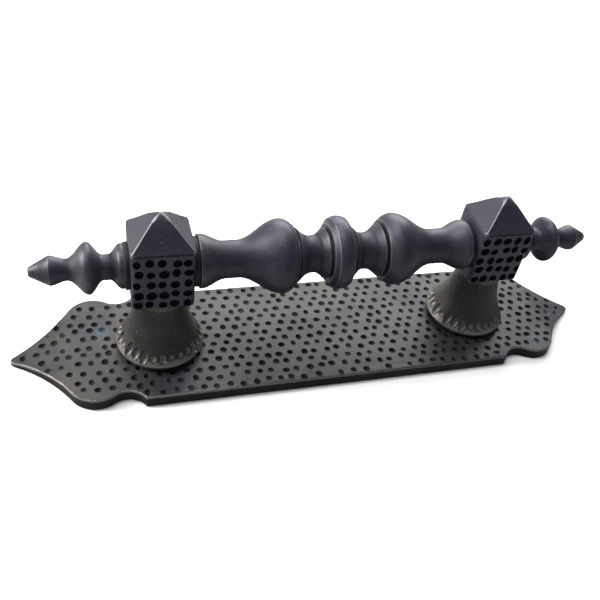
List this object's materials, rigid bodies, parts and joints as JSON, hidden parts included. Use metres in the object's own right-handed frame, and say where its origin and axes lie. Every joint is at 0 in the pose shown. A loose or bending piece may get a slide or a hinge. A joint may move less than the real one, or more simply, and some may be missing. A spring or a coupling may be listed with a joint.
{
  "type": "door pull handle",
  "caption": "Rustic pull handle: a turned bar between two square pyramid-topped posts with finials, on a hammered spear-ended backplate.",
  "frame": {"origin": "middle of the backplate's rear face, half way between the two posts", "axes": "+X along the bar and the plate, +Z away from the door, +Y across the plate"},
  "size_m": [0.28, 0.064, 0.077],
  "materials": {
    "hammered_plate_iron": "satin, hand pitted, with rubbed light edges",
    "hammered_foot_iron": "satin, with a dented rim band and a rubbed bright rim",
    "pitted_head_iron": "satin, front and back faces pitted, pyramid smooth with rubbed ridges",
    "turned_iron": "satin, faintly speckled, with fine scratches",
    "ring_iron": "matt, dark",
    "plain_steel": "turned, plain"
  },
  "bodies": {
    "root": {"backplate": "hammered_plate_iron", "seat_ring_left": "ring_iron", "foot_left": "hammered_foot_iron", "pillar_left": "plain_steel", "rear_nut_left": "plain_steel", "head_left": "pitted_head_iron", "head_washer_left": "ring_iron", "grip_sleeve_left": "turned_iron", "grip_spool_left": "turned_iron", "finial_washer_left": "ring_iron", "finial_left": "turned_iron", "seat_ring_right": "ring_iron", "foot_right": "hammered_foot_iron", "pillar_right": "plain_steel", "rear_nut_right": "plain_steel", "head_right": "pitted_head_iron", "head_washer_right": "ring_iron", "grip_sleeve_right": "turned_iron", "grip_spool_right": "turned_iron", "finial_washer_right": "ring_iron", "finial_right": "turned_iron", "tie_rod": "plain_steel", "centre_bead": "turned_iron"}
  },
  "joints": []
}
